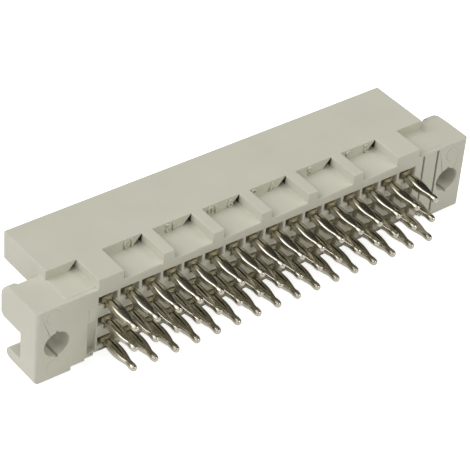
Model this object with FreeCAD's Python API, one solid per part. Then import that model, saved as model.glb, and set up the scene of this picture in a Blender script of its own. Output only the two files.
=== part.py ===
import FreeCAD, Part
import math
import os

# Straight male board connector for press-fit mounting: one moulded housing and 48 contacts.
# Frame: X runs along the strip, Y points from the board to the mating side, Z is up.
# The origin is on the board-side face, midway between the two mounting holes.
# Lengths are in millimetres.

Vec = FreeCAD.Vector

# Contact grid, and the places of its last column and row from the middle
PITCH = 2.54
COLUMNS = 16
ROW_NAMES = ("a", "b", "c")
LAST_COLUMN = (COLUMNS - 1) / 2 * PITCH
LAST_ROW = (len(ROW_NAMES) - 1) / 2 * PITCH

# Housing, overall
COLUMN_TO_HOLE = 5.95
HOLE_TO_END = 2.35
HOUSING_DEPTH = 11.3
TOP_OVER_ROW = 3.31
BOTTOM_UNDER_ROW = 2.61
HOLE_SPACING = 2 * (LAST_COLUMN + COLUMN_TO_HOLE)
OVERALL_LENGTH = HOLE_SPACING + 2 * HOLE_TO_END
TOP_Z = LAST_ROW + TOP_OVER_ROW
BOTTOM_Z = -LAST_ROW - BOTTOM_UNDER_ROW

# Mounting ears
HOLE_DIAMETER = 2.8
HOLE_LEAD_IN = 0.1
HOLE_KEYWAY_WIDTH = 0.3
HOLE_KEYWAY_DEPTH = 0.25
EAR_THICKNESS = 2.9
EAR_OVER_ROW = 2.16
EAR_UNDER_ROW = 1.56
EAR_TOP_Z = LAST_ROW + EAR_OVER_ROW
EAR_BOTTOM_Z = -LAST_ROW - EAR_UNDER_ROW
EAR_EDGE_ROUND = 0.4
EAR_WALL = 1.1
EAR_ROOF_DEPTH = 5.0
CHEEK_DEPTH = 6.3
CHEEK_LOW_Z = 0.4
CHEEK_ROUND = 1.9
CHEEK_LOW_CHAMFER = 0.4
SILL_DEPTH = 5.3
SILL_THICKNESS = 1.25
PAD_RISE = 0.06
PAD_PAST_COLUMN = 4.75
PAD_HALF_LENGTH = LAST_COLUMN + PAD_PAST_COLUMN
PAD_FRONT_Y = 0.5

# Block that holds the contacts
BLOCK_DEPTH = 3.87
BLOCK_PAST_COLUMN = 1.31
BLOCK_HALF_LENGTH = LAST_COLUMN + BLOCK_PAST_COLUMN
# Underside at the front, from the middle outwards: end of each step past the last column, drop under the row
UNDERSIDE_STEPS = ((1.65, 0.61), (2.65, 0.91), (4.25, 1.16))
WINDOW_COUNT = 6
WINDOW_PITCH = 2.366 * PITCH
WINDOW_WIDTH = 1.858 * PITCH
WINDOW_FLOOR_Z = EAR_TOP_Z
RELIEF_WIDTH = 0.95
RELIEF_DEPTH = 4.5
RELIEF_ROOF = 0.12

# Shroud on the mating side
SHROUD_UPPER_PAST_COLUMN = 4.85
SHROUD_LOWER_PAST_COLUMN = 1.9
SHROUD_UPPER_HALF = LAST_COLUMN + SHROUD_UPPER_PAST_COLUMN
SHROUD_LOWER_HALF = LAST_COLUMN + SHROUD_LOWER_PAST_COLUMN
SHROUD_STEP_Z = 2.5
SHROUD_UNDERSIDE_Y = 2.9
CAVITY_FLOOR_Y = 5.0
CAVITY_END_GAP = 1.3
CAVITY_SIDE_GAP = 1.76
MOUTH_CHAMFER = 0.35
KEY_PAST_COLUMN = 3.25
KEY_HALF_LENGTH = LAST_COLUMN + KEY_PAST_COLUMN
KEY_LOW_Z = 3.4

# Marks on the front: two upright grooves at the right, a ramped recess, a pocket and a facet at the left
GROOVES_PAST_COLUMN = (2.1, 4.1)
GROOVE_WIDTH = 0.24
GROOVE_DEPTH = 0.8
GROOVE_TOP_GAP = 0.2
GROOVE_BOTTOM_Z = -3.6
RECESS_PAST_COLUMN = 2.45
RECESS_LEFT = -LAST_COLUMN - RECESS_PAST_COLUMN
RECESS_WIDTH = 1.2
RECESS_DEPTHS = (0.75, 0.05)
RECESS_Z = (-2.95, 0.95)
POCKET_LEFT_Z = -2.3
POCKET_RIGHT_Z = -1.0
POCKET_DEPTH = 1.3
FACET_PAST_COLUMN = 2.36
FACET_LEFT = -LAST_COLUMN - FACET_PAST_COLUMN
FACET_WIDTH = 0.37
FACET_DEPTH = 0.16
FACET_Z = (1.2, 2.55)

# Contact cells in the housing, about the middle of each contact
MOUTH_RIGHT = 0.97
MOUTH_DEPTH = 0.3
SLOT_LEFT = -1.2
SLOT_RIGHT = 0.55
SLOT_LOW = 0.05
SLOT_TOP = 1.12
SLOT_DEPTH = 1.6
CONTACT_CLEARANCE = 0.05

# Contacts
STOCK = 0.6
SHOULDER_LEFT = -0.72
SHOULDER_TOP = 0.9
BODY_FRONT_Y = 0.12
BODY_WIDTH = 0.9
BODY_HEIGHT = 0.84
BODY_END_GAP = 0.4
BLADE_END_Y = 10.0
BLADE_TAPER = 1.0
BLADE_TIP = 0.25
# Press-fit tail, from the board side outwards: distance from the face and half of the width there
TAIL_ROOT_HALF = 0.44
TAIL_STATIONS = ((1.8, 0.52), (3.5, 0.29), (4.2, 0.34))
TAIL_LENGTH = 4.75
TAIL_TIP_HALF = 0.15
# Section of the tail, flat on top and round below, as shares of half its width
TAIL_SECTION = (
    (1, -0.25), (1, 0.68), (0.78, 0.9), (-0.78, 0.9), (-1, 0.68), (-1, -0.25), (-0.55, -0.92), (0.55, -0.92)
)
SLIT_START = 0.1
SLIT_LENGTH = 2.4
SLIT_WIDTH = 0.22
SLIT_FLOOR = 0.2

# How far a cutting shape reaches past the surface that it cuts
OVER = 1.0


def block(x0, x1, y0, y1, z0, z1):
    """Box between two opposite corners."""
    return Part.makeBox(x1 - x0, y1 - y0, z1 - z0, Vec(x0, y0, z0))


def prism(points, direction):
    """Closed flat outline pushed along a direction."""
    wire = Part.makePolygon([Vec(*p) for p in points] + [Vec(*points[0])])
    return Part.Face(wire).extrude(Vec(*direction))


def flat_loft(outlines):
    """Solid through a row of like outlines, with a flat face along each side."""
    first = outlines[0]
    last = outlines[-1]
    loops = [first, last]
    for near, far in zip(outlines, outlines[1:]):
        for i in range(len(near)):
            j = (i + 1) % len(near)
            loops.append([near[i], near[j], far[j], far[i]])
    faces = [Part.Face(Part.makePolygon(loop + [loop[0]])) for loop in loops]
    solid = Part.Solid(Part.Shell(faces))
    if solid.Volume < 0:
        solid.reverse()
    return solid


def mirrored(shape):
    """Copy of a shape on the other end of the strip."""
    return shape.mirror(Vec(0, 0, 0), Vec(1, 0, 0))


def rectangle(x0, x1, z0, z1, y):
    """Corners of an upright rectangle that faces along the depth."""
    return [Vec(x0, y, z0), Vec(x1, y, z0), Vec(x1, y, z1), Vec(x0, y, z1)]


def column_x(column):
    """Place of a contact column along the strip, counted from 0 at the left."""
    return column * PITCH - LAST_COLUMN


def row_z(row):
    """Height of a contact row, counted from 0 at the bottom."""
    return row * PITCH - LAST_ROW


# Housing

def ear_profile(x):
    """Side outline of an ear's outer cheek: plate, rounded upper wing and lower sill."""
    sill_top = EAR_BOTTOM_Z + SILL_THICKNESS
    sill_round = SILL_THICKNESS / 2
    bend = CHEEK_ROUND * (1 - math.sqrt(0.5))
    low = CHEEK_LOW_CHAMFER

    def p(y, z):
        return Vec(x, y, z)

    edges = [
        Part.LineSegment(p(0, EAR_BOTTOM_Z), p(0, EAR_TOP_Z)),
        Part.LineSegment(p(0, EAR_TOP_Z), p(CHEEK_DEPTH - CHEEK_ROUND, EAR_TOP_Z)),
        Part.Arc(p(CHEEK_DEPTH - CHEEK_ROUND, EAR_TOP_Z), p(CHEEK_DEPTH - bend, EAR_TOP_Z - bend),
                 p(CHEEK_DEPTH, EAR_TOP_Z - CHEEK_ROUND)),
        Part.LineSegment(p(CHEEK_DEPTH, EAR_TOP_Z - CHEEK_ROUND), p(CHEEK_DEPTH, CHEEK_LOW_Z + low)),
        Part.LineSegment(p(CHEEK_DEPTH, CHEEK_LOW_Z + low), p(CHEEK_DEPTH - low, CHEEK_LOW_Z)),
        Part.LineSegment(p(CHEEK_DEPTH - low, CHEEK_LOW_Z), p(EAR_THICKNESS, CHEEK_LOW_Z)),
        Part.LineSegment(p(EAR_THICKNESS, CHEEK_LOW_Z), p(EAR_THICKNESS, sill_top)),
        Part.LineSegment(p(EAR_THICKNESS, sill_top), p(SILL_DEPTH - sill_round, sill_top)),
        Part.Arc(p(SILL_DEPTH - sill_round, sill_top), p(SILL_DEPTH, sill_top - sill_round),
                 p(SILL_DEPTH - sill_round, EAR_BOTTOM_Z)),
        Part.LineSegment(p(SILL_DEPTH - sill_round, EAR_BOTTOM_Z), p(0, EAR_BOTTOM_Z)),
    ]
    return Part.Face(Part.Wire([e.toShape() for e in edges]))


def ear():
    """Right-hand ear: cheek and plate, with the roof and sill around the screw pocket."""
    outer = OVERALL_LENGTH / 2
    inner = BLOCK_HALF_LENGTH
    solid = ear_profile(inner).extrude(Vec(outer - inner, 0, 0))
    near = EAR_EDGE_ROUND / 2
    corner = [e for e in solid.Edges if e.CenterOfMass.x > outer - near and e.CenterOfMass.y < near]
    solid = solid.makeFillet(EAR_EDGE_ROUND, corner)
    pocket_top = EAR_TOP_Z - EAR_WALL
    pocket_bottom = EAR_BOTTOM_Z + SILL_THICKNESS
    wall = outer - EAR_WALL
    back = CHEEK_DEPTH + OVER
    pocket = block(inner - OVER, wall, EAR_THICKNESS, back, pocket_bottom, pocket_top)
    behind_roof = block(inner - OVER, wall, EAR_ROOF_DEPTH, back, pocket_bottom, EAR_TOP_Z + OVER)
    pad = block(inner, PAD_HALF_LENGTH, PAD_FRONT_Y, BLOCK_DEPTH, EAR_TOP_Z - EAR_WALL, EAR_TOP_Z + PAD_RISE)
    return solid.cut(pocket.fuse(behind_roof)).fuse(pad)


def shroud():
    """Mating side: long upper slab over a shorter lower part, open at the back."""
    wide = SHROUD_UPPER_HALF
    narrow = SHROUD_LOWER_HALF
    upper = block(-wide, wide, BLOCK_DEPTH, HOUSING_DEPTH, SHROUD_STEP_Z, TOP_Z)
    lower = block(-narrow, narrow, SHROUD_UNDERSIDE_Y, HOUSING_DEPTH, BOTTOM_Z, SHROUD_STEP_Z)
    return upper.fuse(lower)


def cavity():
    """Room for the mating connector, with a wider band at the top that keys it, and a lead-in."""
    half = LAST_COLUMN + CAVITY_END_GAP
    top = LAST_ROW + CAVITY_SIDE_GAP
    bottom = -top
    past = HOUSING_DEPTH + OVER
    room = block(-half, half, CAVITY_FLOOR_Y, past, bottom, top)
    key = block(-KEY_HALF_LENGTH, KEY_HALF_LENGTH, CAVITY_FLOOR_Y, past, KEY_LOW_Z, top)
    m = MOUTH_CHAMFER
    y = HOUSING_DEPTH
    mouth = flat_loft([rectangle(-half, half, bottom, top, y - m),
                       rectangle(-half - m, half + m, bottom - m, top + m, y)])
    return room.fuse([key, mouth])


def window_left(number):
    """Left edge of a window in the top front of the block."""
    return (number - (WINDOW_COUNT - 1) / 2) * WINDOW_PITCH - WINDOW_WIDTH / 2


def contact_block():
    """Block between the ears with end posts and ribs that part its windows."""
    solid = block(-BLOCK_HALF_LENGTH, BLOCK_HALF_LENGTH, 0, CAVITY_FLOOR_Y, EAR_BOTTOM_Z, WINDOW_FLOOR_Z)
    top = block(-BLOCK_HALF_LENGTH, BLOCK_HALF_LENGTH, 0, BLOCK_DEPTH, WINDOW_FLOOR_Z - OVER, TOP_Z)
    for number in range(WINDOW_COUNT):
        left = window_left(number)
        right = left + WINDOW_WIDTH
        top = top.cut(block(left, right, -OVER, BLOCK_DEPTH, WINDOW_FLOOR_Z, TOP_Z + OVER))
    return solid.fuse(top)


def relief(corner_x):
    """Three-cornered pocket at the foot of a back wall, left of a corner, running on into the shroud."""
    points = [(corner_x, BLOCK_DEPTH, TOP_Z - RELIEF_ROOF), (corner_x, BLOCK_DEPTH, WINDOW_FLOOR_Z),
              (corner_x - RELIEF_WIDTH, BLOCK_DEPTH, WINDOW_FLOOR_Z)]
    return prism(points, (0, RELIEF_DEPTH, 0))


def reliefs():
    """Pockets at the right back corner of each window and of the left-hand notch."""
    corners = [-BLOCK_HALF_LENGTH] + [window_left(n) + WINDOW_WIDTH for n in range(WINDOW_COUNT)]
    return [relief(x) for x in corners]


def cell(column, row):
    """Opening for one contact: a shallow mouth, a slot for its shoulder and a close hole to the cavity."""
    x = column_x(column)
    z = row_z(row)
    half = BODY_WIDTH / 2 + CONTACT_CLEARANCE
    high = BODY_HEIGHT / 2 + CONTACT_CLEARANCE
    low = z + SLOT_LOW
    top = z + SLOT_TOP
    mouth = block(x + SLOT_LEFT, x + MOUTH_RIGHT, -OVER, MOUTH_DEPTH, low, top)
    slot = block(x + SLOT_LEFT, x + SLOT_RIGHT, -OVER, SLOT_DEPTH, low, top)
    hole = block(x - half, x + half, -OVER, CAVITY_FLOOR_Y + OVER, z - high, z + high)
    return slot.fuse([mouth, hole])


def mounting_hole(x):
    """Through hole in an ear, with a small lead-in on the board side and a keyway above and below."""
    radius = HOLE_DIAMETER / 2
    out = Vec(0, 1, 0)
    shank = Part.makeCylinder(radius, EAR_THICKNESS + 2 * OVER, Vec(x, -OVER, 0), out)
    lead = Part.makeCone(radius + HOLE_LEAD_IN, radius, HOLE_LEAD_IN, Vec(x, 0, 0), out)
    half = HOLE_KEYWAY_WIDTH / 2
    reach = radius + HOLE_KEYWAY_DEPTH
    keyway = block(x - half, x + half, -OVER, EAR_THICKNESS + OVER, -reach, reach)
    return shank.fuse([lead, keyway])


def underside():
    """Stepped space under the block and the inner ends of the ears."""
    low = EAR_BOTTOM_Z - OVER
    steps = [(LAST_COLUMN + past, -LAST_ROW - drop) for past, drop in UNDERSIDE_STEPS]
    return [block(-half, half, -OVER, EAR_THICKNESS, low, z) for half, z in steps]


def recess():
    """Upright recess in the front that deepens downwards, with a pocket under a slanting edge at its foot."""
    low, top = RECESS_Z
    foot, head = RECESS_DEPTHS
    left = RECESS_LEFT
    right = left + RECESS_WIDTH
    slope = prism([(left, -OVER, low), (left, foot, low), (left, head, top), (left, -OVER, top)],
                  (RECESS_WIDTH, 0, 0))
    pocket = prism([(left, -OVER, low), (right, -OVER, low), (right, -OVER, POCKET_RIGHT_Z),
                    (left, -OVER, POCKET_LEFT_Z)], (0, OVER + POCKET_DEPTH, 0))
    return slope.fuse(pocket)


def facet():
    """Narrow upright face at the front that turns to the light."""
    low, top = FACET_Z
    left = FACET_LEFT
    return prism([(left, -OVER, low), (left, FACET_DEPTH, low), (left + FACET_WIDTH, 0, low),
                  (left + FACET_WIDTH, -OVER, low)], (0, 0, top - low))


def front_marks():
    """Two upright grooves at the right end, and a recess under a facet at the left end."""
    half = GROOVE_WIDTH / 2
    top = EAR_TOP_Z - GROOVE_TOP_GAP
    places = [LAST_COLUMN + past for past in GROOVES_PAST_COLUMN]
    cuts = [block(x - half, x + half, -OVER, GROOVE_DEPTH, GROOVE_BOTTOM_Z, top) for x in places]
    return cuts + [recess(), facet()]


def housing():
    """The whole moulding as one solid."""
    right = ear()
    solid = shroud().fuse([contact_block(), right, mirrored(right)])
    cuts = [cavity()] + reliefs() + underside() + front_marks()
    cuts += [mounting_hole(side * HOLE_SPACING / 2) for side in (-1, 1)]
    cuts += [cell(c, r) for c in range(COLUMNS) for r in range(len(ROW_NAMES))]
    return solid.cut(cuts).removeSplitter()


# Contacts

def tail_ring(half, distance):
    """Corners of the tail's section."""
    return [Vec(half * x, -distance, half * z) for x, z in TAIL_SECTION]


def tail():
    """Press-fit tail: body that swells, necks in and ends in a small ball."""
    rings = [tail_ring(TAIL_ROOT_HALF, -BODY_FRONT_Y)]
    rings += [tail_ring(half, distance) for distance, half in TAIL_STATIONS]
    rings.append(tail_ring(TAIL_TIP_HALF, TAIL_LENGTH))
    return flat_loft(rings)


def slit():
    """Pointed groove along the top of the tail, widest where the tail is thickest."""
    half = SLIT_WIDTH / 2
    outline = [(0, 0), (half, SLIT_LENGTH / 2), (0, SLIT_LENGTH), (-half, SLIT_LENGTH / 2)]
    return prism([(x, -SLIT_START - y, SLIT_FLOOR) for x, y in outline], (0, 0, 1))


def blade():
    """Square mating blade with a tapered end."""
    half = STOCK / 2
    tip = BLADE_TIP / 2
    return flat_loft([rectangle(-half, half, -half, half, CAVITY_FLOOR_Y - BODY_END_GAP),
                      rectangle(-half, half, -half, half, BLADE_END_Y - BLADE_TAPER),
                      rectangle(-tip, tip, -tip, tip, BLADE_END_Y)])


def contact():
    """One contact at the origin of its cell."""
    half = BODY_WIDTH / 2
    high = BODY_HEIGHT / 2
    right = SLOT_RIGHT - CONTACT_CLEARANCE
    low = SLOT_LOW + CONTACT_CLEARANCE
    shoulder = block(SHOULDER_LEFT, right, BODY_FRONT_Y, SLOT_DEPTH, low, SHOULDER_TOP)
    body = block(-half, half, BODY_FRONT_Y, CAVITY_FLOOR_Y - BODY_END_GAP, -high, high)
    solid = tail().cut(slit()).fuse([shoulder, body, blade()])
    return solid.removeSplitter()


def main():
    os.makedirs("parts", exist_ok=True)
    housing().exportStep("parts/housing.step")
    pattern = contact()
    for row, row_name in enumerate(ROW_NAMES):
        for column in range(COLUMNS):
            piece = pattern.copy()
            piece.translate(Vec(column_x(column), 0, row_z(row)))
            piece.exportStep(f"parts/contact_{row_name}{column + 1:02d}.step")


main()
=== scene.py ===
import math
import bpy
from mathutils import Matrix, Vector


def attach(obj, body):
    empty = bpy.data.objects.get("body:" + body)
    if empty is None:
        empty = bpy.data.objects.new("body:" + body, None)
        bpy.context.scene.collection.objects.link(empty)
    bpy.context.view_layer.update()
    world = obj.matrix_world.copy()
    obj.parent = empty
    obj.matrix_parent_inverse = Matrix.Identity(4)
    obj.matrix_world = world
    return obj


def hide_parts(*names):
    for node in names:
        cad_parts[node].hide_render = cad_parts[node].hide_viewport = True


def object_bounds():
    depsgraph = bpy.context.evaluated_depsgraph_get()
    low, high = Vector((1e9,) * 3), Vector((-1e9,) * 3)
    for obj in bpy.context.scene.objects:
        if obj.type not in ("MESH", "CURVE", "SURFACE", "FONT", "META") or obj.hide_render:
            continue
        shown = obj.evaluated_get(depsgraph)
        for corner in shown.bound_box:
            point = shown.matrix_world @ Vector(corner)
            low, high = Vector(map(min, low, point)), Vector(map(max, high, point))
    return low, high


bl_info = {
    "name": "Press-fit connector strip",
    "version": (1, 0, 0),
    "blender": (4, 5, 0),
    "location": "View3D > Sidebar > Connector",
    "description": "Dresses the packed connector strip with its moulded and plated surfaces",
    "category": "Object",
}

import bmesh
import bpy
import numpy as np
from mathutils import Matrix, Quaternion, Vector

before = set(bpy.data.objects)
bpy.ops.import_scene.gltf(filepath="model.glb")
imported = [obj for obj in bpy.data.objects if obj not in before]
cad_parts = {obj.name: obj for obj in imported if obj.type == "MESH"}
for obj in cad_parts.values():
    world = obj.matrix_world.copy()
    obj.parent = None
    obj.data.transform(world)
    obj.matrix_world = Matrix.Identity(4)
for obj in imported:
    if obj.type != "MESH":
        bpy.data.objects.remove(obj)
CAD_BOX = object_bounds()

MM = 0.001
ROW_NAMES = ("a", "b", "c")
COLUMNS = 16
PITCH = 2.54


# Colours

def from_hex(colour):
    """Linear RGBA from an sRGB hex value."""
    parts = [int(colour[i:i + 2], 16) / 255 for i in (1, 3, 5)]
    linear = [c / 12.92 if c <= 0.04045 else ((c + 0.055) / 1.055) ** 2.4 for c in parts]
    return (*linear, 1.0)


def colour_setting(name, colour, description):
    """Property for a colour, whose default is written as an sRGB hex value."""
    return bpy.props.FloatVectorProperty(
        name=name, default=from_hex(colour), description=description, subtype="COLOR", size=4, min=0.0,
        max=1.0)


# Sizes and colours that a user would change

class ContactSizes(bpy.types.PropertyGroup):
    """Sizes of one contact, in millimetres."""

    front: bpy.props.FloatProperty(
        name="Front", default=0.12, description="How far the flat parts sit behind the board face, in mm")
    shoulder_left: bpy.props.FloatProperty(
        name="Shoulder left", default=-0.72,
        description="Left end of the shoulder from the contact's middle, in mm")
    shoulder_right: bpy.props.FloatProperty(
        name="Shoulder right", default=0.42,
        description="Right end of the shoulder from the contact's middle, in mm")
    shoulder_foot: bpy.props.FloatProperty(
        name="Shoulder foot", default=0.1,
        description="Underside of the shoulder over the row's middle, in mm")
    shoulder_top: bpy.props.FloatProperty(
        name="Shoulder top", default=0.82, description="Top of the shoulder over the row's middle, in mm")
    slot_depth: bpy.props.FloatProperty(
        name="Slot depth", default=1.6, description="Depth of the slot that holds the shoulder, in mm")
    body_width: bpy.props.FloatProperty(
        name="Body width", default=0.9, description="Width of the body, in mm")
    body_height: bpy.props.FloatProperty(
        name="Body height", default=0.84, description="Height of the body, in mm")
    body_end: bpy.props.FloatProperty(
        name="Body end", default=4.6,
        description="Where the body gives way to the blade, in mm from the board face")
    blade_side: bpy.props.FloatProperty(
        name="Blade side", default=0.6, description="Side of the square mating blade, in mm")
    blade_end: bpy.props.FloatProperty(
        name="Blade end", default=10.0, description="Tip of the blade, in mm from the board face")
    blade_taper: bpy.props.FloatProperty(
        name="Blade taper", default=1.0, description="Length of the blade's point, in mm")
    seam_length: bpy.props.FloatProperty(
        name="Seam length", default=2.5, description="Length of the open seam along the tail, in mm")
    seam_width: bpy.props.FloatProperty(
        name="Seam width", default=0.2, description="Widest opening of the seam, in mm")
    seam_depth: bpy.props.FloatProperty(
        name="Seam depth", default=0.26, description="Depth of the seam, in mm")


class MetalLook(bpy.types.PropertyGroup):
    """Colours of the contacts' plating and bare metal."""

    tin: colour_setting("Tin", "#D2CDBE", "Tin plate where it is brightest")
    tin_lines: colour_setting("Tin lines", "#AFA997", "Tin plate along its drawing lines")
    bronze: colour_setting("Bronze", "#B4AE98", "Bare bronze where it is brightest")
    bronze_lines: colour_setting("Bronze lines", "#8F8A76", "Bare bronze along its drawing lines")
    gold: colour_setting("Gold", "#E6C26E", "Gold plate where it is brightest")
    gold_lines: colour_setting("Gold lines", "#D0A850", "Gold plate along its drawing lines")


class HousingLook(bpy.types.PropertyGroup):
    """Surface of the moulding, and the painted shade for its deep pockets."""

    grey_low: colour_setting("Grey, darker", "#BCBAA9", "Darker shade of the moulding")
    grey_high: colour_setting("Grey, lighter", "#C6C4B5", "Lighter shade of the moulding")
    # Painted shade: darker copies of the moulding's colour that stand in for the shade deep in the corner
    # pockets
    pocket_painted_shade_low: colour_setting("Hollow, darker", "#3E3A28", "Darker shade inside the deep pockets")
    pocket_painted_shade_high: colour_setting("Hollow, lighter", "#4A4632", "Lighter shade inside the deep pockets")
    edge_round: bpy.props.FloatProperty(
        name="Edge rounding", default=0.12,
        description="Width of the rounding along the moulding's edges, in mm")
    numeral_height: bpy.props.FloatProperty(
        name="Numeral height", default=1.0, description="Height of the raised position numerals, in mm")
    numeral_rise: bpy.props.FloatProperty(
        name="Numeral rise", default=0.18, description="How far the numerals stand proud, in mm")
    mark_rise: bpy.props.FloatProperty(
        name="Mark rise", default=0.06, description="How far the ejector marks stand proud, in mm")


class StageSettings(bpy.types.PropertyGroup):
    """Lamps, floor and camera."""

    key_light: bpy.props.FloatProperty(
        name="Key lamp", default=1.8, description="Power of the key lamp", subtype="POWER")
    front_light: bpy.props.FloatProperty(
        name="Front lamp", default=2.1, description="Power of the front lamp", subtype="POWER")
    sky: bpy.props.FloatProperty(name="Sky", default=1.0, description="Strength of the studio's own light")
    floor: colour_setting("Floor", "#D8D8D8", "Colour of the floor")
    floor_glow: bpy.props.FloatProperty(
        name="Floor glow", default=0.8, description="Light of its own that the floor shows to the camera")
    lens: bpy.props.FloatProperty(
        name="Lens", default=161.7, description="Focal length of the camera", subtype="DISTANCE_CAMERA")
    roll: bpy.props.FloatProperty(
        name="Roll", default=math.radians(5.08), description="Roll of the camera", subtype="ANGLE")


# Mesh helpers

def mesh_object(name, verts, faces, materials=()):
    """New object in the scene, from points in millimetres."""
    mesh = bpy.data.meshes.new(name)
    mesh.from_pydata([Vector(v) * MM for v in verts], [], faces)
    for material in materials:
        mesh.materials.append(material)
    obj = bpy.data.objects.new(name, mesh)
    bpy.context.scene.collection.objects.link(obj)
    return obj


def column_x(column):
    """Place of a contact column along the strip, in mm, counted from 0 at the left."""
    return (column - (COLUMNS - 1) / 2) * PITCH


def row_z(row):
    """Height of a contact row, in mm, counted from 0 at the bottom."""
    return (row - (len(ROW_NAMES) - 1) / 2) * PITCH


# Material helpers

def add_node(tree, kind, settings=None, inputs=None):
    """Adds a node, sets its properties, and fills its sockets with values or links."""
    node = tree.nodes.new(kind)
    for key, value in (settings or {}).items():
        setattr(node, key, value)
    for key, value in (inputs or {}).items():
        if isinstance(value, bpy.types.NodeSocket):
            tree.links.new(value, node.inputs[key])
        else:
            node.inputs[key].default_value = value
    return node


def per_size(size):
    """Texture scale at which a pattern comes out at a size in mm."""
    return 1 / (size * MM)


def new_material(name):
    """Empty node material with its output, as (material, tree, output)."""
    material = bpy.data.materials.new(name)
    material.use_nodes = True
    tree = material.node_tree
    tree.nodes.clear()
    return material, tree, tree.nodes.new("ShaderNodeOutputMaterial")


# Clouds of the melt's flow, and the grain of the tool surface with its depth, in mm
FLOW_SIZE = 4.545
GRAIN_SIZE = 0.125
GRAIN_RISE = 0.02
# Distance between the drawing lines of the metal, how long they run and how far they rise, in mm
LINE_SPACING = 0.05
LINE_LENGTH = 1.111
LINE_RISE = 0.01
# Roughness in the metal's smoothest and roughest lines, as shares of its usual one
SMOOTHEST = 0.8
ROUGHEST = 1.25
# Share of the floor's glow that the metal sees
MIRRORED_SHARE = 0.5


def glass_filled_polyester(name, low, high):
    """Glass-filled polyester, moulded against a fine spark-eroded tool: matt, faintly clouded and grained."""
    material, tree, out = new_material(name)
    place = add_node(tree, "ShaderNodeTexCoord").outputs["Object"]
    # Cloudy change of shade a few millimetres across, from the flow of the melt
    flow = add_node(tree, "ShaderNodeTexNoise",
                    inputs={"Vector": place, "Scale": per_size(FLOW_SIZE), "Detail": 3.0})
    shade = add_node(tree, "ShaderNodeMix", {"data_type": "RGBA"},
                     {"Factor": flow.outputs["Fac"], "A": low, "B": high})
    # Grain of the tool surface, drawn coarser than the real 0.03 mm so that it shows
    grain = add_node(tree, "ShaderNodeTexNoise",
                     inputs={"Vector": place, "Scale": per_size(GRAIN_SIZE), "Detail": 2.0})
    bump = add_node(tree, "ShaderNodeBump",
                    inputs={"Height": grain.outputs["Fac"], "Strength": 0.12, "Distance": GRAIN_RISE * MM})
    rough = add_node(tree, "ShaderNodeMapRange",
                     inputs={"Value": grain.outputs["Fac"], "To Min": 0.48, "To Max": 0.6})
    shader = add_node(tree, "ShaderNodeBsdfPrincipled",
                      inputs={"Base Color": shade.outputs["Result"], "Roughness": rough.outputs["Result"],
                              "Normal": bump.outputs["Normal"], "IOR": 1.57})
    tree.links.new(shader.outputs["BSDF"], out.inputs["Surface"])
    return material


def plated_metal(name, light, dark, roughness):
    """Drawn and plated metal: fine lines along the contact over a slightly uneven tone."""
    material, tree, out = new_material(name)
    place = add_node(tree, "ShaderNodeTexCoord").outputs["Object"]
    # Drawing lines run along the contact
    across = per_size(LINE_SPACING)
    stretched = add_node(tree, "ShaderNodeMapping",
                         inputs={"Vector": place, "Scale": (across, per_size(LINE_LENGTH), across)})
    lines = add_node(tree, "ShaderNodeTexNoise", inputs={"Vector": stretched.outputs["Vector"], "Scale": 1.0,
                                                         "Detail": 2.0})
    tone = add_node(tree, "ShaderNodeMix", {"data_type": "RGBA"},
                    {"Factor": lines.outputs["Fac"], "A": dark, "B": light})
    rough = add_node(tree, "ShaderNodeMapRange",
                     inputs={"Value": lines.outputs["Fac"], "To Min": roughness * SMOOTHEST,
                             "To Max": roughness * ROUGHEST})
    bump = add_node(tree, "ShaderNodeBump",
                    inputs={"Height": lines.outputs["Fac"], "Strength": 0.15, "Distance": LINE_RISE * MM})
    shader = add_node(tree, "ShaderNodeBsdfPrincipled",
                      inputs={"Base Color": tone.outputs["Result"], "Metallic": 1.0,
                              "Roughness": rough.outputs["Result"], "Normal": bump.outputs["Normal"]})
    tree.links.new(shader.outputs["BSDF"], out.inputs["Surface"])
    return material


def white_floor(colour, glow):
    """Floor painted matt white, which shows the camera and the metal a light ground."""
    material, tree, out = new_material("matt_white_floor")
    diffuse = add_node(tree, "ShaderNodeBsdfDiffuse", inputs={"Color": colour})
    light = add_node(tree, "ShaderNodeEmission", inputs={"Color": (1, 1, 1, 1), "Strength": glow})
    path = add_node(tree, "ShaderNodeLightPath")
    mirrored = add_node(tree, "ShaderNodeMath", {"operation": "MAXIMUM"},
                        {0: path.outputs["Is Glossy Ray"], 1: path.outputs["Is Transmission Ray"]})
    # The lamps already bring the floor near white, so what the metal sees needs less added
    mirrored = add_node(tree, "ShaderNodeMath", {"operation": "MULTIPLY"},
                        {0: mirrored.outputs[0], 1: MIRRORED_SHARE})
    seen = add_node(tree, "ShaderNodeMath", {"operation": "MAXIMUM"},
                    {0: path.outputs["Is Camera Ray"], 1: mirrored.outputs[0]})
    both = add_node(tree, "ShaderNodeAddShader", inputs={0: diffuse.outputs[0], 1: light.outputs[0]})
    mix = add_node(tree, "ShaderNodeMixShader", inputs={0: seen.outputs[0], 1: diffuse.outputs[0],
                                                        2: both.outputs[0]})
    tree.links.new(mix.outputs[0], out.inputs["Surface"])
    return material


# Contacts

# Tail profile, in mm: distance from the board face, half width, rise of the flat top, drop of the underside
TAIL_PROFILE = (
    (-0.12, 0.48, 0.58, 0.46), (0.0, 0.49, 0.6, 0.47), (0.5, 0.53, 0.61, 0.51), (1.0, 0.57, 0.59, 0.55),
    (1.4, 0.59, 0.56, 0.56), (1.8, 0.6, 0.52, 0.54), (2.2, 0.58, 0.47, 0.5), (2.6, 0.53, 0.42, 0.45),
    (3.0, 0.45, 0.375, 0.4), (3.45, 0.35, 0.345, 0.36), (3.75, 0.34, 0.345, 0.36), (4.1, 0.375, 0.375, 0.385),
    (4.35, 0.375, 0.365, 0.38), (4.6, 0.29, 0.29, 0.3), (4.72, 0.16, 0.16, 0.16), (4.75, 0.04, 0.04, 0.04)
)
TAIL_RINGS = 46
TAIL_TOP_SIDES = 20
TAIL_LOW_SIDES = 10
# How square the upper corners are, down from 1 for round, and where they start to turn round
TAIL_SQUARENESS = 0.4
TAIL_ROUND_FROM = 3.2
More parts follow.
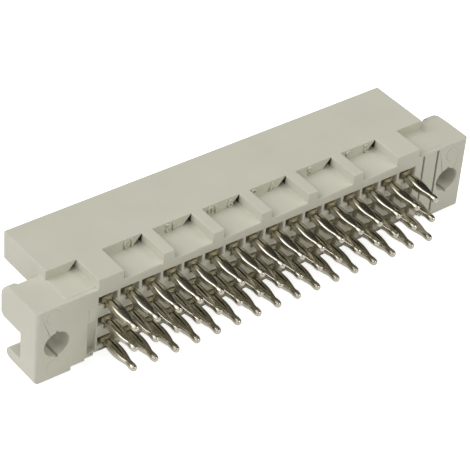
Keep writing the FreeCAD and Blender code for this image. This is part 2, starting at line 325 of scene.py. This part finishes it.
# How much the rings crowd towards the tip, up from 1 for evenly spread
TAIL_CROWDING = 1.3
# Where the seam starts, half its width where it is shut, in mm, and its floor as a share of its mouth
SEAM_START = 0.05
SEAM_SHUT = 0.012
SEAM_FLOOR = 0.6
# How blunt the seam's ends are, and how soon it gets its full depth
SEAM_BLUNTNESS = 0.6
SEAM_DEEPENING = 2.5
# Rounding of the edges of the shoulder, the body and the blade, in mm
SHOULDER_ROUND = 0.06
BODY_ROUND = 0.04
BLADE_ROUND = 0.05
# Side of the blade at its tip, as a share of its full side
TIP_SHARE = 0.42
METAL_SHARP = math.radians(40)
# Material slots of a contact
TIN = 0
BRONZE = 1
GOLD = 2


def tail_sizes(distance):
    """Half width, rise and drop of the tail at a distance, on a smooth curve through the profile's points."""
    xs = np.array([p[0] for p in TAIL_PROFILE])
    ys = np.array([p[1:] for p in TAIL_PROFILE])
    slopes = np.gradient(ys, xs, axis=0)
    i = min(max(int(np.searchsorted(xs, distance)) - 1, 0), len(xs) - 2)
    step = xs[i + 1] - xs[i]
    t = (distance - xs[i]) / step
    return ((2 * t ** 3 - 3 * t ** 2 + 1) * ys[i] + (t ** 3 - 2 * t ** 2 + t) * step * slopes[i]
            + (3 * t ** 2 - 2 * t ** 3) * ys[i + 1] + (t ** 3 - t ** 2) * step * slopes[i + 1])


def tail_ring(distance, sizes):
    """Points of one section of the tail: flat top with a seam in it, square shoulders, round underside."""
    half, rise, drop = tail_sizes(distance)
    last = TAIL_PROFILE[-1][0]
    share = (distance - SEAM_START) / sizes.seam_length
    opening = max(0.0, 1 - (2 * share - 1) ** 2) if 0 < share < 1 else 0.0
    seam = max(sizes.seam_width / 2 * opening ** SEAM_BLUNTNESS, SEAM_SHUT)
    depth = sizes.seam_depth * min(1.0, SEAM_DEEPENING * opening)
    # The section turns round towards the tip
    turned = min(max((distance - TAIL_ROUND_FROM) / (last - TAIL_ROUND_FROM), 0.0), 1.0)
    power = TAIL_SQUARENESS + (1 - TAIL_SQUARENESS) * turned
    shoulders = []
    for side in (1, -1):
        arc = []
        for i in range(TAIL_TOP_SIDES // 2 + 1):
            angle = math.pi / 2 * i / (TAIL_TOP_SIDES // 2)
            x = half * max(math.cos(angle), 0.0) ** power
            arc.append((side * max(x, seam), -distance, rise * math.sin(angle) ** power))
        shoulders.append(arc)
    low = []
    for i in range(1, TAIL_LOW_SIDES):
        angle = math.pi + math.pi * i / TAIL_LOW_SIDES
        low.append((half * math.cos(angle), -distance, drop * math.sin(angle)))
    floor = [(side * SEAM_FLOOR * seam, -distance, rise - depth) for side in (1, -1)]
    return shoulders[0] + floor + shoulders[1][::-1] + low


def tail_mesh(sizes):
    """Points and faces of the whole tail, closed at both ends."""
    first = TAIL_PROFILE[0][0]
    last = TAIL_PROFILE[-1][0]
    verts = []
    faces = []
    for ring in range(TAIL_RINGS):
        # Rings crowd towards the rounded tip
        share = 1 - (1 - ring / (TAIL_RINGS - 1)) ** TAIL_CROWDING
        verts += tail_ring(first + (last - first) * share, sizes)
    around = len(verts) // TAIL_RINGS
    for ring in range(TAIL_RINGS - 1):
        for i in range(around):
            a = ring * around + i
            b = ring * around + (i + 1) % around
            faces.append((a, b, b + around, a + around))
    faces.append(tuple(reversed(range(around))))
    faces.append(tuple(range((TAIL_RINGS - 1) * around, TAIL_RINGS * around)))
    return verts, faces


def bar_mesh(sections):
    """Points and faces of a bar through rectangles given as (y, x0, x1, z0, z1)."""
    verts = []
    faces = []
    for y, x0, x1, z0, z1 in sections:
        verts += [(x0, y, z0), (x1, y, z0), (x1, y, z1), (x0, y, z1)]
    for s in range(len(sections) - 1):
        for i in range(4):
            a = s * 4 + i
            b = s * 4 + (i + 1) % 4
            faces.append((a, a + 4, b + 4, b))
    faces.append((0, 1, 2, 3))
    top = (len(sections) - 1) * 4
    faces.append((top + 3, top + 2, top + 1, top))
    return verts, faces


def softened(bm, width):
    """Rounds every edge of a bar a little."""
    bmesh.ops.bevel(
        bm, geom=list(bm.edges), offset=width * MM, segments=2, affect="EDGES", clamp_overlap=True)


def build_contact(sizes, materials):
    """One contact at the origin of its cell, as a mesh that all contacts share."""
    side = sizes.blade_side / 2
    tip = side * TIP_SHARE
    shoulder = (sizes.shoulder_left, sizes.shoulder_right, sizes.shoulder_foot, sizes.shoulder_top)
    half = sizes.body_width / 2
    high = sizes.body_height / 2
    front = sizes.front
    taper = sizes.blade_end - sizes.blade_taper
    parts = (
        (tail_mesh(sizes), TIN, 0.0),
        (bar_mesh([(front, *shoulder), (sizes.slot_depth, *shoulder)]), BRONZE, SHOULDER_ROUND),
        (bar_mesh([(front, -half, half, -high, high),
                   (sizes.body_end, -half, half, -high, high)]), BRONZE, BODY_ROUND),
        (bar_mesh([(sizes.body_end, -side, side, -side, side), (taper, -side, side, -side, side),
                   (sizes.blade_end, -tip, tip, -tip, tip)]), GOLD, BLADE_ROUND),
    )
    whole = bmesh.new()
    for (verts, faces), material, soft in parts:
        piece = bmesh.new()
        made = [piece.verts.new(Vector(v) * MM) for v in verts]
        for face in faces:
            piece.faces.new([made[i] for i in face])
        if soft:
            softened(piece, soft)
        bmesh.ops.recalc_face_normals(piece, faces=list(piece.faces))
        for face in piece.faces:
            face.material_index = material
            face.smooth = True
        mesh = bpy.data.meshes.new("part")
        piece.to_mesh(mesh)
        piece.free()
        whole.from_mesh(mesh)
        bpy.data.meshes.remove(mesh)
    mesh = bpy.data.meshes.new("contact_metal")
    whole.to_mesh(mesh)
    whole.free()
    for material in materials:
        mesh.materials.append(material)
    mesh.set_sharp_from_angle(angle=METAL_SHARP)
    return mesh


class CONNECTOR_OT_contacts(bpy.types.Operator):
    """Puts a finished metal contact in place of each plain one"""

    bl_idname = "connector.contacts"
    bl_label = "Contacts"

    def execute(self, context):
        sizes = context.scene.connector_contact
        look = context.scene.connector_metal
        materials = (
            # Tin, melted once after plating, gives a soft bright grey
            plated_metal("reflowed_tin_plate", look.tin, look.tin_lines, roughness=0.22),
            # Bare edges of the stamped bronze strip show dull and warm beside the plating
            plated_metal("bare_bronze_edge", look.bronze, look.bronze_lines, roughness=0.45),
            # Thin gold on the mating length gives a smooth yellow shine
            plated_metal("gold_plate", look.gold, look.gold_lines, roughness=0.2),
        )
        mesh = build_contact(sizes, materials)
        for row, row_name in enumerate(ROW_NAMES):
            for column in range(COLUMNS):
                position = f"{row_name}{column + 1:02d}"
                piece = bpy.data.objects.new(f"metal_{position}", mesh)
                context.scene.collection.objects.link(piece)
                piece.location = Vector((column_x(column), 0, row_z(row))) * MM
                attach(piece, "root")
                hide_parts(f"contact_{position}")
        return {"FINISHED"}


# Housing

SHARP = math.radians(35)
# How many widths of the rounding an edge needs beside it to be rounded in full
ROUNDING_ROOM = 2.4
# How far two places may differ and still count as one, and gaps that are closed, in mm
SLACK = 0.005
WELD = 0.001
SLIVER = 0.0005
# Back wall of the windows, where the deep corner pockets begin, and half the length of the block, in mm
WINDOW_BACK = 3.87
BLOCK_HALF = 20.35
# Where the middles of the pockets' faces lie, in mm, and an area in mm2 that only they stay under; these pick
# the faces that get the painted shade
POCKET_Y = (3.95, 8.4)
POCKET_Z = (4.0, 5.8)
POCKET_AREA = 6.0
# How nearly a window's side wall faces along the strip, where 1 is exactly
SIDEWAYS = 0.99
# Plain step beside each contact's slot in the solid, and how deep it really goes, in mm
MOUTH_FLOOR = 0.3
MOUTH_DEPTH = 0.7
# Recess at the left end, in mm: its x range, the depth of the pocket in the solid, its right side in the
# solid and here, its foot and its head as (height, depth)
RECESS_X = (-21.6, -20.2)
RECESS_POCKET = 1.3
RECESS_SIDE = (-20.3, -20.5)
RECESS_FOOT = (-2.95, 0.75)
RECESS_HEAD = (0.95, 0.05)


def reshape(bm):
    """Deepens the mouths beside the contacts, and makes the left recess a plain shallow scoop."""
    for vert in bm.verts:
        x, y, z = vert.co / MM
        if abs(y - MOUTH_FLOOR) < SLACK and abs(x) < column_x(COLUMNS):
            vert.co.y = MOUTH_DEPTH * MM
        if not RECESS_X[0] < x < RECESS_X[1]:
            continue
        if abs(y - RECESS_POCKET) < SLACK:
            share = (z - RECESS_FOOT[0]) / (RECESS_HEAD[0] - RECESS_FOOT[0])
            vert.co.y = (RECESS_FOOT[1] + share * (RECESS_HEAD[1] - RECESS_FOOT[1])) * MM
        if abs(x - RECESS_SIDE[0]) < SLACK:
            vert.co.x = RECESS_SIDE[1] * MM


def cut_window_walls(bm):
    """Cuts the windows' side walls at the back wall, so that the part inside a pocket is its own face and can
    take the painted shade.
    """
    walls = []
    for face in bm.faces:
        middle = face.calc_center_median() / MM
        if abs(face.normal.x) > SIDEWAYS and middle.z > POCKET_Z[0] and abs(middle.x) < BLOCK_HALF:
            walls.append(face)
    parts = dict.fromkeys(part for face in walls for part in (face, *face.edges, *face.verts))
    bmesh.ops.bisect_plane(
        bm, geom=list(parts), dist=0.0001 * MM, plane_co=(0, WINDOW_BACK * MM, 0), plane_no=(0, 1, 0))


def paint_pocket_shade(bm):
    """Gives the second material, a painted shade, to the faces inside the deep corner pockets."""
    for face in bm.faces:
        x, y, z = face.calc_center_median() / MM
        inside = abs(x) < BLOCK_HALF and POCKET_Y[0] < y < POCKET_Y[1] and POCKET_Z[0] < z < POCKET_Z[1]
        behind = min(vert.co.y for vert in face.verts) / MM > WINDOW_BACK - SLACK
        small = face.calc_area() < POCKET_AREA * MM ** 2
        face.material_index = 1 if inside and behind and small else 0


def edge_weights(bm, full):
    """Sets how much of the rounding each sharp edge gets; edges of short facets get less."""
    layer = bm.edges.layers.float.new("bevel_weight_edge")
    for edge in bm.edges:
        if len(edge.link_faces) == 2 and edge.calc_face_angle() > SHARP:
            shortest = min(e.calc_length() for v in edge.verts for e in v.link_edges) / MM
            edge[layer] = min(1.0, shortest / (ROUNDING_ROOM * full))


class CONNECTOR_OT_housing(bpy.types.Operator):
    """Puts a moulding with its surface and rounded edges in place of the plain one"""

    bl_idname = "connector.housing"
    bl_label = "Housing"

    def execute(self, context):
        look = context.scene.connector_housing
        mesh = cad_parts["housing"].data.copy()
        mesh.materials.clear()
        mesh.materials.append(
            glass_filled_polyester("glass_filled_polyester_pebble_grey", look.grey_low, look.grey_high))
        # Deep in the pockets the plain colour renders too light, so their inside gets painted shade: a darker
        # copy of the same plastic
        mesh.materials.append(
            glass_filled_polyester("glass_filled_polyester_painted_pocket_shade", look.pocket_painted_shade_low, look.pocket_painted_shade_high))
        bm = bmesh.new()
        bm.from_mesh(mesh)
        reshape(bm)
        bmesh.ops.remove_doubles(bm, verts=bm.verts, dist=WELD * MM)
        bmesh.ops.dissolve_degenerate(bm, edges=bm.edges, dist=SLIVER * MM)
        cut_window_walls(bm)
        paint_pocket_shade(bm)
        edge_weights(bm, look.edge_round)
        bm.to_mesh(mesh)
        bm.free()
        body = bpy.data.objects.new("moulding", mesh)
        context.scene.collection.objects.link(body)
        bevel = body.modifiers.new("round_edges", "BEVEL")
        bevel.width = look.edge_round * MM
        bevel.segments = 2
        bevel.limit_method = "WEIGHT"
        bevel.use_clamp_overlap = False
        normals = body.modifiers.new("flat_faces", "WEIGHTED_NORMAL")
        normals.keep_sharp = False
        for face in mesh.polygons:
            face.use_smooth = True
        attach(body, "root")
        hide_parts("housing")
        return {"FINISHED"}


# Raised numerals on the windows' back walls: (text, place of its middle along the strip in mm)
NUMERALS = (("14", -14.2), ("12", -9.2), ("10", -3.95), ("9", -1.8), ("8", 1.2), ("7", 3.5), ("5", 8.5),
            ("3", 13.6), ("2", 16.1))
WINDOW_MIDDLE = 5.27
# Height of a figure as a share of the font's size
FIGURE_SHARE = 0.7


class CONNECTOR_OT_numerals(bpy.types.Operator):
    """Raises the position numerals on the back walls of the windows"""

    bl_idname = "connector.numerals"
    bl_label = "Numerals"

    def execute(self, context):
        look = context.scene.connector_housing
        material = bpy.data.objects["moulding"].data.materials[0]
        # The figures read from the mating side, so they stand on their heads here
        turned = Matrix(((-1, 0, 0), (0, 0, -1), (0, -1, 0))).to_4x4()
        for text, place in NUMERALS:
            font = bpy.data.curves.new("numeral", "FONT")
            font.body = text
            font.size = look.numeral_height / FIGURE_SHARE * MM
            font.align_x = "CENTER"
            font.align_y = "CENTER"
            font.extrude = look.numeral_rise * MM
            font.space_character = 0.95
            holder = bpy.data.objects.new("numeral", font)
            context.scene.collection.objects.link(holder)
            context.view_layer.update()
            mesh = bpy.data.meshes.new_from_object(holder)
            bpy.data.objects.remove(holder)
            mesh.transform(turned)
            mesh.materials.clear()
            mesh.materials.append(material)
            piece = bpy.data.objects.new(f"numeral_{text}", mesh)
            context.scene.collection.objects.link(piece)
            piece.location = Vector((place, WINDOW_BACK, WINDOW_MIDDLE)) * MM
            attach(piece, "root")
        return {"FINISHED"}


# Ejector marks on the ears' front faces: (along the strip, up, radius), in mm
EJECTOR_MARKS = ((-25.42, 3.58, 0.8), (-25.41, -2.55, 0.75), (25.25, 3.32, 0.8))
MARK_SIDES = 40
# How far a mark reaches into the ear and how wide its chamfer is, in mm, and the share of its rise below that
MARK_ROOT = 0.05
MARK_TURN = 0.4
MARK_CHAMFER = 0.04


class CONNECTOR_OT_marks(bpy.types.Operator):
    """Adds the faint round marks that the ejector pins left"""

    bl_idname = "connector.marks"
    bl_label = "Ejector marks"

    def execute(self, context):
        look = context.scene.connector_housing
        material = bpy.data.objects["moulding"].data.materials[0]
        for number, (x, z, radius) in enumerate(EJECTOR_MARKS):
            rings = ((radius, MARK_ROOT), (radius, -look.mark_rise * MARK_TURN),
                     (radius - MARK_CHAMFER, -look.mark_rise))
            verts = []
            for reach, y in rings:
                for i in range(MARK_SIDES):
                    turn = 2 * math.pi * i / MARK_SIDES
                    verts.append((x + reach * math.cos(turn), y, z + reach * math.sin(turn)))
            faces = []
            for ring in range(len(rings) - 1):
                for i in range(MARK_SIDES):
                    a = ring * MARK_SIDES + i
                    b = ring * MARK_SIDES + (i + 1) % MARK_SIDES
                    faces.append((a, b, b + MARK_SIDES, a + MARK_SIDES))
            faces.append(tuple(range(len(verts) - MARK_SIDES, len(verts))))
            faces.append(tuple(reversed(range(MARK_SIDES))))
            piece = mesh_object(f"ejector_mark_{number + 1}", verts, faces, [material])
            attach(piece, "root")
        return {"FINISHED"}


# Stage

CAMERA_PLACE = (-110.92, -126.15, 133.52)
CAMERA_AIM = (-0.24, 4.44, 0.0)
SENSOR_WIDTH = 36.0
# Nearest and furthest that the camera sees, in metres, and half the width of the floor, in mm
VIEW_NEAR = 0.01
VIEW_FAR = 20
FLOOR_REACH = 3000
# Lamps: (place, aim, width and height), in mm
KEY_LAMP = ((-500, 380, 640), (0, 3, 0), (380, 640))
FRONT_LAMP = ((380, -560, 590), (0, 3, 0), (320, 240))
# Wide lights of the studio: (towards, cosine at its edge, cosine where it is full, level, colour)
SKY_LIGHTS = (
    ((-0.56, 0.255, 0.787), 0.45, 0.95, 1.37, "#FDFDFF"),
    ((-1, 0, 0.2), 0.55, 0.9, 0.5, "#F4F8FF"),
    ((0.1, -1, 0.2), 0.55, 0.9, 0.68, "#FFFDF2"),
)
DARK_LEVEL = 0.03


def add_lamp(context, name, setting, power):
    """Soft rectangular lamp that looks at its aim."""
    place, aim, size = setting
    data = bpy.data.lights.new(name, "AREA")
    data.shape = "RECTANGLE"
    data.size = size[0] * MM
    data.size_y = size[1] * MM
    data.energy = power
    lamp = bpy.data.objects.new(name, data)
    lamp.location = Vector(place) * MM
    lamp.rotation_mode = "QUATERNION"
    lamp.rotation_quaternion = (Vector(aim) - Vector(place)).to_track_quat("-Z", "Y")
    context.scene.collection.objects.link(lamp)


def studio_sky(scene, strength):
    """Dark studio with a wide soft light over the left, and fainter ones at the left and in front."""
    world = bpy.data.worlds.new("studio")
    world.use_nodes = True
    tree = world.node_tree
    tree.nodes.clear()
    direction = add_node(tree, "ShaderNodeTexCoord").outputs["Generated"]
    total = (DARK_LEVEL, DARK_LEVEL, DARK_LEVEL)
    for axis, edge, middle, peak, colour in SKY_LIGHTS:
        near = add_node(tree, "ShaderNodeVectorMath", {"operation": "DOT_PRODUCT"},
                        {0: direction, 1: Vector(axis).normalized()})
        level = add_node(tree, "ShaderNodeMapRange", {"interpolation_type": "SMOOTHSTEP"},
                         {"Value": near.outputs["Value"], "From Min": edge, "From Max": middle,
                          "To Max": peak})
        total = add_node(tree, "ShaderNodeVectorMath", {"operation": "MULTIPLY_ADD"},
                         {0: from_hex(colour)[:3], 1: level.outputs[0], 2: total}).outputs["Vector"]
    shade = add_node(tree, "ShaderNodeBackground", inputs={"Color": total, "Strength": strength})
    out = add_node(tree, "ShaderNodeOutputWorld")
    tree.links.new(shade.outputs[0], out.inputs["Surface"])
    scene.world = world


class CONNECTOR_OT_stage(bpy.types.Operator):
    """Sets up the floor, the lamps and the camera"""

    bl_idname = "connector.stage"
    bl_label = "Stage"

    def execute(self, context):
        scene = context.scene
        settings = scene.connector_stage
        low = CAD_BOX[0].z / MM
        corners = [(x * FLOOR_REACH, y * FLOOR_REACH, low) for x, y in ((-1, -1), (1, -1), (1, 1), (-1, 1))]
        paint = white_floor(settings.floor, settings.floor_glow)
        floor = mesh_object("floor", corners, [(0, 1, 2, 3)], [paint])
        studio_sky(scene, settings.sky)
        add_lamp(context, "key_lamp", KEY_LAMP, settings.key_light)
        add_lamp(context, "front_lamp", FRONT_LAMP, settings.front_light)
        data = bpy.data.cameras.new("camera")
        data.sensor_width = SENSOR_WIDTH
        data.lens = settings.lens
        data.clip_start = VIEW_NEAR
        data.clip_end = VIEW_FAR
        camera = bpy.data.objects.new("camera", data)
        place = Vector(CAMERA_PLACE)
        camera.location = place * MM
        camera.rotation_mode = "QUATERNION"
        level = (Vector(CAMERA_AIM) - place).to_track_quat("-Z", "Y")
        camera.rotation_quaternion = level @ Quaternion((0, 0, 1), settings.roll)
        scene.collection.objects.link(camera)
        scene.camera = camera
        scene.view_settings.view_transform = "Standard"
        return {"FINISHED"}


class CONNECTOR_PT_panel(bpy.types.Panel):
    """Lists the connector's making steps in the sidebar"""

    bl_idname = "CONNECTOR_PT_panel"
    bl_label = "Connector strip"
    bl_space_type = "VIEW_3D"
    bl_region_type = "UI"
    bl_category = "Connector"

    def draw(self, context):
        for step in STEPS:
            self.layout.operator(step.bl_idname)


STEPS = (CONNECTOR_OT_housing, CONNECTOR_OT_numerals, CONNECTOR_OT_marks, CONNECTOR_OT_contacts,
         CONNECTOR_OT_stage)
GROUPS = {"connector_contact": ContactSizes, "connector_metal": MetalLook, "connector_housing": HousingLook,
          "connector_stage": StageSettings}
CLASSES = (*GROUPS.values(), *STEPS, CONNECTOR_PT_panel)


def register():
    """Registers the classes and hangs the settings on the scene."""
    for cls in CLASSES:
        bpy.utils.register_class(cls)
    for name, group in GROUPS.items():
        setattr(bpy.types.Scene, name, bpy.props.PointerProperty(type=group))


def unregister():
    """Takes the settings and the classes away again."""
    for name in GROUPS:
        delattr(bpy.types.Scene, name)
    for cls in reversed(CLASSES):
        bpy.utils.unregister_class(cls)


def main():
    """Makes all the pieces and the stage."""
    register()
    bpy.ops.connector.housing()
    bpy.ops.connector.numerals()
    bpy.ops.connector.marks()
    bpy.ops.connector.contacts()
    bpy.ops.connector.stage()


if __name__ == "__main__":
    main()
